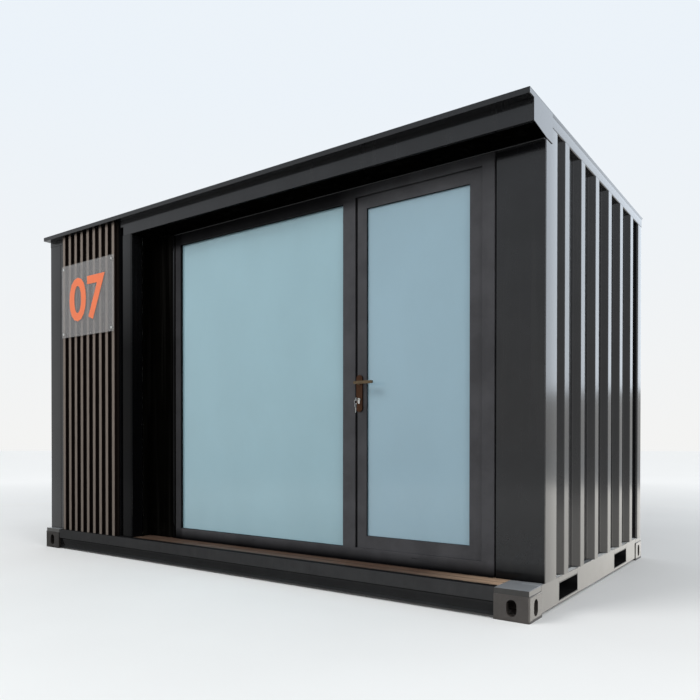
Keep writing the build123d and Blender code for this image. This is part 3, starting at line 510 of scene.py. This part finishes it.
# ------------------------------------------------------------------ making pieces
MERGE_DISTANCE = 2e-6                   # corners of neighbouring faces closer than this are one
FLAT_ANGLE = math.radians(0.6)          # faces that meet at less than this are one flat
EDGED_SMOOTH, EDGED_ANGLE = 34.0, 32.0  # degrees: smooth shading up to one, rounded edges from the other


def low(node):
    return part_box(node)[0]


def high(node):
    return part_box(node)[1]


def close_mesh(name, bm):
    mesh = bpy.data.meshes.new(name)
    bm.to_mesh(mesh)
    bm.free()
    return mesh


def settle_mesh(name, mesh, material, body, stands_for, smooth):
    """Makes a mesh a piece with its material, body and the frame nodes it stands for."""
    for face in mesh.polygons:
        face.use_smooth = True
    mesh.set_sharp_from_angle(angle=math.radians(smooth))
    mesh.materials.clear()
    mesh.materials.append(material)
    piece = bpy.data.objects.new(name, mesh)
    scene.collection.objects.link(piece)
    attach(piece, body)
    if stands_for:
        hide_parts(*stands_for)
    return piece


def finish_piece(name, bm, material, body="cabin", stands_for=(), smooth=30.0):
    """Turns a bmesh into a piece, its faces turned outwards."""
    bmesh.ops.recalc_face_normals(bm, faces=bm.faces)
    settle_mesh(name, close_mesh(name, bm), material, body, stands_for, smooth)


def round_off(bm, edges, width, segments):
    return bmesh.ops.bevel(bm, geom=edges, offset=width, offset_type="OFFSET", segments=segments, profile=0.5,
                           affect="EDGES", material=-1, clamp_overlap=True)["verts"]


def move_corners(bm, made, shift):
    """Moves the corners in the result of an extrusion."""
    bmesh.ops.translate(bm, vec=shift, verts=[part for part in made if isinstance(part, bmesh.types.BMVert)])


def add_bar(bm, corner, opposite, edge=0.0, segments=2):
    """A bar between two opposite corners, its edges rounded by a small bevel."""
    near = Vector([min(pair) for pair in zip(corner, opposite)])
    far = Vector([max(pair) for pair in zip(corner, opposite)])
    made = bmesh.ops.create_cube(bm, size=1.0)["verts"]
    bmesh.ops.scale(bm, vec=far - near, verts=made)
    bmesh.ops.translate(bm, vec=(near + far) / 2, verts=made)
    if edge:
        round_off(bm, list({e for v in made for e in v.link_edges}), edge, segments)


def add_button(bm, centre, radius, length, edge):
    """A round button about a centre, lying along Y, with eased ends."""
    made = bmesh.ops.create_cone(bm, cap_ends=True, cap_tris=False, segments=20, radius1=radius,
                                 radius2=radius, depth=length)["verts"]
    rims = [e for e in {e for v in made for e in v.link_edges} if abs(e.verts[0].co.z - e.verts[1].co.z) < 1e-9]
    made = list(set(round_off(bm, rims, edge, 2) + [v for v in made if v.is_valid]))
    turn = Vector((0, 0, 1)).rotation_difference(Vector((0, 1, 0))).to_matrix()
    bmesh.ops.rotate(bm, cent=(0, 0, 0), matrix=turn, verts=made)
    bmesh.ops.translate(bm, vec=Vector(centre), verts=made)


def add_ring(bm, box, inset, front, back, width):
    """A rectangular band in the XZ plane, inset from a box and reaching from front to back in Y.

    The new face has no normal when it is inset, so the width has no effect and the band is a thin wall.
    """
    left, right = box[0].x + inset, box[1].x - inset
    bottom, top = box[0].z + inset, box[1].z - inset
    outline = ((left, bottom), (right, bottom), (right, top), (left, top))
    face = bm.faces.new([bm.verts.new((x, front, z)) for x, z in outline])
    ring = bmesh.ops.inset_region(bm, faces=[face], thickness=width, use_even_offset=True,
                                  use_boundary=True)["faces"]
    bmesh.ops.delete(bm, geom=[face], context="FACES")
    move_corners(bm, bmesh.ops.extrude_face_region(bm, geom=ring)["geom"], (0, back - front, 0))


def merged_copy(node):
    """A frame part's mesh with its faces joined up and each flat made whole."""
    bm = bmesh.new()
    bm.from_mesh(nodes[node].data)
    bmesh.ops.remove_doubles(bm, verts=bm.verts, dist=MERGE_DISTANCE)
    bmesh.ops.dissolve_limit(bm, angle_limit=FLAT_ANGLE, verts=bm.verts, edges=bm.edges, delimit={"NORMAL"})
    return bm


def add_rounding(piece, radius, segments, angle):
    rounding = piece.modifiers.new("rounded_edges", "BEVEL")
    rounding.width = radius
    rounding.segments = segments
    rounding.limit_method = "ANGLE"
    rounding.angle_limit = math.radians(angle)
    rounding.harden_normals = True


def edged_copy(node, name, material, radius=0.0012, segments=2, body="cabin"):
    """A merged copy of a frame part with rounded edges, shown in its place."""
    mesh = close_mesh(name, merged_copy(node))
    piece = settle_mesh(name, mesh, material, body, (node,), EDGED_SMOOTH)
    add_rounding(piece, radius, segments, EDGED_ANGLE)


def folded_sheet(name, outline, run, thickness, fold, material, stands_for):
    """Sheet folded along an outline and run along a vector, with rounded folds.  It thickens inwards.

    An extra edge on each side of a fold keeps the flats between the folds flat in the light.
    """
    bm = bmesh.new()
    hold = fold + 0.004
    points = [outline[0]]
    for start, end in zip(outline, outline[1:]):
        along = (end - start).normalized()
        if (end - start).length > 2.5 * hold:
            points += [start + along * hold, end - along * hold]
        points.append(end)
    corners = [bm.verts.new(point) for point in points]
    edges = [bm.edges.new(pair) for pair in zip(corners, corners[1:])]
    move_corners(bm, bmesh.ops.extrude_edge_only(bm, edges=edges)["geom"], run)
    folds = [e for e in bm.edges if len(e.link_faces) == 2 and e.calc_face_angle(0) > 0.05]
    round_off(bm, folds, fold, 4)
    piece = settle_mesh(name, close_mesh(name, bm), material, "cabin", stands_for, 50.0)
    sheet = piece.modifiers.new("sheet", "SOLIDIFY")
    sheet.thickness = thickness
    sheet.offset = -1.0
    sheet.use_even_offset = True
    rims = piece.modifiers.new("crisp_rims", "EDGE_SPLIT")
    rims.split_angle = math.radians(60)


def paint_node(node, material):
    """Gives a frame part its finish."""
    mesh = nodes[node].data
    mesh.materials.clear()
    mesh.materials.append(material)


# ------------------------------------------------------------------ base frame and posts
CASTING_CORNER, CASTING_EDGE = 0.0085, 0.0025
BEAD_NEAR, BEAD_FAR = 0.0004, 0.0050    # the weld bead's two sides, from the casting's outer face
BEAD_END = 0.0020                       # from the outer face that the bead runs up to
BEAD_SINK, BEAD_RISE, BEAD_EDGE = 0.0010, 0.0052, 0.0016


def casting(node, name):
    """A corner casting with well rounded outer edges, and weld beads along the outer edges of its top."""
    bm = merged_copy(node)
    corner_low, corner_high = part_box(node)
    outer_x, inner_x = sorted((corner_low.x, corner_high.x), key=abs, reverse=True)
    outer_y, inner_y = sorted((corner_low.y, corner_high.y), key=abs, reverse=True)
    limits = ((X, outer_x), (Y, outer_y), (Z, corner_low.z))

    def outer_faces(edge):
        return sum(all(abs(v.co[axis] - level) < 1e-5 for v in edge.verts) for axis, level in limits)

    round_off(bm, [e for e in bm.edges if outer_faces(e) >= 2], CASTING_CORNER, 4)
    piece = settle_mesh(name, close_mesh(name, bm), CAST_STEEL, "cabin", (node,), EDGED_SMOOTH)
    add_rounding(piece, CASTING_EDGE, 2, 40)

    beads = bmesh.new()
    side, back = math.copysign(1, outer_x), math.copysign(1, outer_y)
    bottom, top = corner_high.z - BEAD_SINK, corner_high.z + BEAD_RISE
    add_bar(beads, (outer_x - side * BEAD_FAR, inner_y, bottom),
            (outer_x - side * BEAD_NEAR, outer_y - back * BEAD_END, top), BEAD_EDGE)
    add_bar(beads, (inner_x, outer_y - back * BEAD_FAR, bottom),
            (outer_x - side * BEAD_END, outer_y - back * BEAD_NEAR, top), BEAD_EDGE)
    finish_piece(name + "_weld_beads", beads, CAST_STEEL)


for corner in ("front_left", "front_right", "rear_left", "rear_right"):
    casting("corner_fitting_" + corner, "casting_" + corner)

for node in ("front_bottom_rail", "rear_bottom_rail"):
    edged_copy(node, "painted_" + node, RAIL_STEEL, radius=0.0020, segments=3)
for node in ("left_end_sill", "right_end_sill"):
    edged_copy(node, "painted_" + node, SILL_STEEL, radius=0.0022, segments=3)
for node in ("front_fork_tube", "rear_fork_tube", "cross_members"):
    paint_node(node, RAIL_STEEL)

for node in ("front_left_post", "front_right_post", "rear_left_post", "rear_right_post"):
    edged_copy(node, "painted_" + node, CHARCOAL, radius=0.0008)
# the portal post takes the darker copy of the paint, with painted shade
edged_copy("portal_post", "painted_portal_post", PORTAL_SHADED_PAINT, radius=0.0008)
for node in ("front_top_rail", "rear_top_rail", "left_top_rail", "right_top_rail"):
    edged_copy(node, "painted_" + node, CHARCOAL, radius=0.0008)

# ------------------------------------------------------------------ walls, canopy and roof
SHEET, FOLD_RADIUS = 0.002, 0.005
RIB_PITCH, RIB_DEPTH, RIB_FLAT = 0.275, 0.034, 0.072
RIB_REACH = 0.072           # from the middle of a rib to the foot of its slope
END_RIB_SHIFT = 0.024       # the end walls' ribs sit this far in front of the wall's middle


def corrugated_wall(node, corner, along, inward, material, shift=0.0):
    """Pressed wall sheet with rounded folds, drawn along its outer face."""
    wall_low, wall_high = low(node), high(node)
    along, inward = Vector(along), Vector(inward)
    span = abs((wall_high - wall_low).dot(along))
    ribs = int((span - 2 * RIB_REACH) // RIB_PITCH) + 1
    first = (span - (ribs - 1) * RIB_PITCH) / 2 + shift
    steps = [(0.0, 1.0)]
    for rib in range(ribs):
        middle = first + rib * RIB_PITCH
        steps += [(middle - RIB_REACH, 1.0), (middle - RIB_FLAT / 2, 0.0),
                  (middle + RIB_FLAT / 2, 0.0), (middle + RIB_REACH, 1.0)]
    steps.append((span, 1.0))
    start = Vector((corner[0], corner[1], wall_low.z))
    outline = [start + along * distance + inward * (RIB_DEPTH * deep) for distance, deep in steps]
    folded_sheet("pressed_" + node, outline, Vector((0, 0, wall_high.z - wall_low.z)), SHEET, FOLD_RADIUS,
                 material, stands_for=(node,))


right_low, right_high = low("right_end_wall"), high("right_end_wall")
left_low, left_high = low("left_end_wall"), high("left_end_wall")
rear_high = high("rear_wall")
corrugated_wall("right_end_wall", (right_high.x, right_low.y), (0, 1, 0), (-1, 0, 0), END_SHEET, -END_RIB_SHIFT)
corrugated_wall("left_end_wall", (left_low.x, left_high.y), (0, -1, 0), (1, 0, 0), END_SHEET, END_RIB_SHIFT)
corrugated_wall("rear_wall", (rear_high.x, rear_high.y), (-1, 0, 0), (0, -1, 0), CHARCOAL_SHEET)

for node in ("front_left_wall", "canopy_fascia", "canopy_end_plate", "roof_sheet"):
    edged_copy(node, "painted_" + node, CHARCOAL_SHEET, radius=0.0010)
edged_copy("right_recess_panel", "painted_right_recess_panel", RECESS_PANEL, radius=0.0010)
# the left recess panel and the soffit take the near-black paint that is painted shade
for node in ("left_recess_panel", "canopy_soffit"):
    edged_copy(node, "painted_" + node, RECESS_PAINTED_SHADE, radius=0.0010)

# the roof sheet is welded along the end rails with a bead that slopes out from the rail to the sheet's edge
SEAM_DROP = 0.0130
seams = bmesh.new()
rail_low, rail_high = low("right_top_rail"), high("right_top_rail")
seam_top = rail_high.z + 0.0004
for side in (1, -1):
    inner = side * (rail_high.x - 0.0010)
    face = side * (rail_high.x + 0.0002)
    outer = side * (high("roof_sheet").x - 0.0004)
    profile = [(inner, rail_high.z - SEAM_DROP), (face, rail_high.z - SEAM_DROP), (outer, seam_top - 0.0012),
               (outer, seam_top), (inner, seam_top)]
    end = seams.faces.new([seams.verts.new((x, rail_low.y, z)) for x, z in profile])
    move_corners(seams, bmesh.ops.extrude_face_region(seams, geom=[end])["geom"],
                 (0, rail_high.y - rail_low.y, 0))
finish_piece("roof_seam_welds", seams, CHARCOAL, smooth=20.0)

# pale sealant lies on the end sills along the feet of the pressed walls
SEALANT_WIDTH, SEALANT_RISE, SEALANT_SINK = 0.0310, 0.0008, 0.0002
sealant = bmesh.new()
for side, wall in ((1, "right_end_wall"), (-1, "left_end_wall")):
    edge = side * (abs(right_high.x) - 0.0012)
    foot = low(wall).z
    add_bar(sealant, (edge, low(wall).y + 0.0010, foot - SEALANT_SINK),
            (edge - side * SEALANT_WIDTH, high(wall).y - 0.0010, foot + SEALANT_RISE), edge=0.0003)
finish_piece("wall_foot_sealant", sealant, SEALANT, smooth=20.0)

# a narrow strip closes the joint between the soffit and the glazed front, and runs on over the sheet beside it
TRIM_WIDTH = 0.006
frame_low, frame_high = low("window_door_frame"), high("window_door_frame")
panel_low, panel_high = low("right_recess_panel"), high("right_recess_panel")
trim_bottom, trim_top = frame_high.z - 0.012, frame_high.z - 0.003
trim = bmesh.new()
add_bar(trim, (frame_low.x - TRIM_WIDTH, frame_low.y - TRIM_WIDTH, trim_bottom),
        (frame_high.x, frame_low.y, trim_top), edge=0.0018)
add_bar(trim, (frame_high.x, frame_low.y - TRIM_WIDTH, trim_bottom),
        (panel_high.x - 0.003, panel_low.y, trim_top), edge=0.0018)
finish_piece("soffit_trim", trim, CHARCOAL)

# a slim cover strip stands beside the left jamb of the glazed front, in the portal post's darker paint with
# painted shade
cover = bmesh.new()
add_bar(cover, (frame_low.x - 0.038, frame_low.y + 0.0045, frame_low.z),
        (frame_low.x - 0.020, frame_low.y + 0.0105, trim_bottom), edge=0.0015)
finish_piece("left_jamb_cover_strip", cover, PORTAL_SHADED_PAINT)

# ------------------------------------------------------------------ inside and deck
for node in ("ceiling", "rear_lining", "front_linings"):
    paint_node(node, LINING)
for node in ("left_lining", "right_lining"):
    paint_node(node, END_LINING)
paint_node("floor_board", PLY)
edged_copy("entrance_deck", "deck_board", DECK, radius=0.0015)

# ------------------------------------------------------------------ cladding and sign
SLAT_WIDTH, SLAT_PITCH, SLAT_COUNT = 0.032, 0.0778, 9
SLAT_MARGIN, SLAT_BACKING = 0.004, 0.008
slats_low, slats_high = low("slat_panel"), high("slat_panel")
backing_face = slats_high.y - SLAT_BACKING
slats = bmesh.new()
for number in range(SLAT_COUNT):
    left = slats_low.x + SLAT_MARGIN + number * SLAT_PITCH
    add_bar(slats, (left, slats_low.y, slats_low.z), (left + SLAT_WIDTH, backing_face, slats_high.z),
            edge=0.0022, segments=3)
finish_piece("cladding_ribs", slats, SLAT)
board = bmesh.new()
add_bar(board, (slats_low.x, backing_face, slats_low.z), slats_high, edge=0.0012)
finish_piece("cladding_board", board, SLAT_GROOVE, stands_for=("slat_panel",))
edged_copy("sign_plate", "clear_sign", ACRYLIC, radius=0.0008)
edged_copy("sign_standoffs", "sign_spacers", STEEL, radius=0.0006)

CAP_INSET, CAP_RADIUS, CAP_HEIGHT = 0.027, 0.0085, 0.003
sign_low, sign_high = low("sign_plate"), high("sign_plate")
caps = bmesh.new()
for x in (sign_low.x + CAP_INSET, sign_high.x - CAP_INSET):
    for z in (sign_low.z + CAP_INSET, sign_high.z - CAP_INSET):
        add_button(caps, (x, sign_low.y - CAP_HEIGHT / 2, z), CAP_RADIUS, CAP_HEIGHT, 0.0009)
finish_piece("sign_screw_caps", caps, STEEL)


def film_number(name, text, middle, size, material):
    """Plain numbers cut from film, laid on an upright face that looks along -Y."""
    curve = bpy.data.curves.new(name, "FONT")
    curve.body = text
    curve.size = size
    curve.align_x = "CENTER"
    curve.align_y = "CENTER"
    curve.offset = 0.010
    curve.extrude = 0.0003
    curve.resolution_u = 4
    words = bpy.data.objects.new(name + "_outline", curve)
    scene.collection.objects.link(words)
    bpy.context.view_layer.update()
    mesh = bpy.data.meshes.new_from_object(words)
    bpy.data.objects.remove(words)
    bm = bmesh.new()
    bm.from_mesh(mesh)
    xs, ys = [v.co.x for v in bm.verts], [v.co.y for v in bm.verts]
    centre = Vector(((min(xs) + max(xs)) / 2, (min(ys) + max(ys)) / 2, 0))
    bmesh.ops.translate(bm, vec=-centre, verts=bm.verts)
    bmesh.ops.rotate(bm, cent=(0, 0, 0), matrix=Matrix.Rotation(math.radians(90), 3, "X"), verts=bm.verts)
    bmesh.ops.translate(bm, vec=middle, verts=bm.verts)
    finish_piece(name, bm, material)


sign_middle = (sign_low + sign_high) / 2
film_number("sign_number", "07", Vector((sign_middle.x, sign_low.y - 0.0004, sign_middle.z)), 0.44, ORANGE_FILM)

# ------------------------------------------------------------------ glazed front
edged_copy("window_door_frame", "glazing_frame", FRAME_COAT)
edged_copy("window_bead", "window_inner_bead", FRAME_COAT)
edged_copy("window_glass", "window_pane", WINDOW_PANE, radius=0.001)
edged_copy("door_leaf", "door_stiles", FRAME_COAT, body="door")
edged_copy("door_bead", "door_inner_bead", FRAME_COAT, body="door")
edged_copy("door_glass", "door_pane", DOOR_PANE, radius=0.001, body="door")

# each pane has a gasket in front, which reaches the face of its frame, and one behind
GASKET_INSET, GASKET_STOP = 0.011, 0.0015
for pane, frame_face, body in (("window_glass", 0.020, "cabin"), ("door_glass", 0.012, "door")):
    rubber = bmesh.new()
    front, back = low(pane).y, high(pane).y
    add_ring(rubber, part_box(pane), GASKET_INSET, front - frame_face + GASKET_STOP, front + 0.0005, 0.006)
    add_ring(rubber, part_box(pane), GASKET_INSET, back - 0.0005, back + 0.005, 0.005)
    finish_piece(pane + "_gasket", rubber, GASKET, body=body, smooth=20.0)

# the door shuts against a stepped seal in the frame, and has a thin one of its own on the lock side
leaf_low, leaf_high = low("door_leaf"), high("door_leaf")
seal = bmesh.new()
add_ring(seal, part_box("door_leaf"), 0.001, leaf_low.y - 0.0075, leaf_low.y - 0.0002, 0.0125)
add_ring(seal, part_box("door_leaf"), 0.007, leaf_low.y - 0.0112, leaf_low.y - 0.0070, 0.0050)
finish_piece("door_frame_seal", seal, GASKET, smooth=20.0)
brush = bmesh.new()
add_bar(brush, (leaf_low.x + 0.0085, leaf_low.y - 0.0012, leaf_low.z + 0.010),
        (leaf_low.x + 0.0165, leaf_low.y + 0.0004, leaf_high.z - 0.010), edge=0.0004)
finish_piece("door_lock_side_seal", brush, GASKET, body="door", smooth=20.0)

# a black strip along the deck's front edge is painted shade for the joint there; another runs under the foot of
# the wall on its left
deck_low, deck_high = low("entrance_deck"), high("entrance_deck")
wall_low, wall_high = low("front_left_wall"), high("front_left_wall")
strip = bmesh.new()
add_bar(strip, (deck_low.x, deck_low.y - 0.027, deck_high.z),
        (deck_high.x, deck_low.y + 0.001, deck_high.z + 0.0012), edge=0.0005)
add_bar(strip, (wall_low.x + 0.001, wall_low.y + 0.0005, deck_high.z - 0.0002),
        (wall_high.x - 0.0005, wall_high.y - 0.0005, deck_high.z + 0.0010), edge=0.0004)
finish_piece("deck_edge_painted_shade_strip", strip, GASKET, smooth=20.0)

paint_node("hinge_frame_halves", FRAME_COAT)
paint_node("hinge_leaf_halves", FRAME_COAT)
edged_copy("outer_backplate", "outer_handle_plate", BRONZE, radius=0.0015, body="door")
edged_copy("inner_backplate", "inner_handle_plate", BRONZE, radius=0.0015, body="door")
edged_copy("lever_handles", "levers", LEVER_BRONZE, radius=0.002, body="lever")
edged_copy("lock_cylinder", "euro_cylinder", STEEL, radius=0.0006, body="door")
edged_copy("door_keys", "keys_on_ring", STEEL, radius=0.0003, body="door")

# ------------------------------------------------------------------ floor, world, lights and camera
FLOOR_RADIUS = 60.0


def pale_background(w):
    """1 for the rays that show the floor and the backdrop: seen directly, in gloss and through glass."""
    rays = w.add("ShaderNodeLightPath").outputs
    direct_or_gloss = w.calc("MAXIMUM", rays["Is Camera Ray"], rays["Is Glossy Ray"])
    return w.calc("MAXIMUM", direct_or_gloss, rays["Is Transmission Ray"])


def plain_floor():
    """A pale floor, which glows more with distance so that it meets the backdrop."""
    bm = bmesh.new()
    bmesh.ops.create_circle(bm, cap_ends=True, segments=96, radius=FLOOR_RADIUS)
    mesh = close_mesh("pale_floor", bm)
    floor = bpy.data.objects.new("pale_floor", mesh)
    scene.collection.objects.link(floor)
    material, w, shader, place = start_material("pale_floor")
    shader.inputs["Roughness"].default_value = 0.8
    shader.inputs["Specular IOR Level"].default_value = 0.1
    patches = w.between(w.noise(place, 0.6, 3.0, 0.5), 0.3, 0.7)
    pale = w.blend(patches, (0.80, 0.795, 0.78, 1), (0.84, 0.835, 0.82, 1))
    seen = pale_background(w)
    w.feed(shader.inputs["Base Color"], w.blend(seen, (0.30, 0.295, 0.285, 1), pale))
    away = w.add("ShaderNodeVectorMath", operation="LENGTH")
    w.feed(away.inputs[0], place)
    glow = w.between(away.outputs["Value"], 2.5, 11.0, 0.04, 0.42)
    shader.inputs["Emission Color"].default_value = (0.96, 0.955, 0.94, 1)
    w.feed(shader.inputs["Emission Strength"], w.calc("MULTIPLY", seen, glow))
    mesh.materials.append(material)


def pale_world():
    """A pale backdrop, a little bluer higher up, and dimmer for the light it sheds than for the eye."""
    world = bpy.data.worlds.new("studio")
    scene.world = world
    world.use_nodes = True
    w = Wiring(world.node_tree)
    background = world.node_tree.nodes["Background"]
    height = w.split(w.add("ShaderNodeTexCoord").outputs["Generated"])[Z]
    tint = w.blend(w.between(height, 0.0, 0.45), (0.95, 0.95, 0.94, 1), (0.88, 0.94, 1.0, 1))
    w.feed(background.inputs["Color"], tint)
    w.feed(background.inputs["Strength"], w.between(pale_background(w), 0.0, 1.0, 0.60, 0.95))


def area_lamp(name, place, target, size, power, colour=(1, 1, 1), sheen=False):
    """A soft panel of light.  It is kept out of reflections, or with sheen it is only seen in them."""
    data = bpy.data.lights.new(name, "AREA")
    data.shape = "RECTANGLE"
    data.size, data.size_y = size
    data.energy = power
    data.color = colour
    lamp = bpy.data.objects.new(name, data)
    lamp.location = place
    lamp.rotation_euler = (Vector(target) - Vector(place)).to_track_quat("-Z", "Y").to_euler()
    scene.collection.objects.link(lamp)
    lamp.visible_camera = False
    lamp.visible_glossy = sheen
    lamp.visible_diffuse = not sheen


plain_floor()
pale_world()
area_lamp("high_front_lamp", (-3.0, -7.0, 6.5), (0, 0, 1.0), (5.0, 4.0), 420.0)
area_lamp("right_lamp", (8.0, -2.5, 5.0), (1.5, 0, 1.0), (4.0, 4.0), 260.0)
area_lamp("right_sheen_panel", (4.9, 9.4, 5.6), (1.9, -1.0, 3.2), (8.0, 7.6), 415.0, (0.79, 0.885, 1.0),
          sheen=True)
area_lamp("floor_sheen_panel", (4.86, 2.6, 0.004), (4.86, 2.6, 1.0), (5.7, 12.0), 310.0, (1.0, 0.96, 0.88),
          sheen=True)

CAMERA_ANGLES = (89.5735, -0.0384, 35.1067)     # degrees about X, Y and Z
camera_data = bpy.data.cameras.new("front_right_view")
camera_data.sensor_width = 36.0
camera_data.lens = 34.723
camera_data.shift_x = -0.0109
camera_data.shift_y = 0.1376
camera = bpy.data.objects.new("front_right_view", camera_data)
camera.location = (3.1283, -4.0740, 0.8386)
camera.rotation_euler = [math.radians(angle) for angle in CAMERA_ANGLES]
scene.collection.objects.link(camera)
scene.camera = camera
scene.view_settings.view_transform = "Standard"
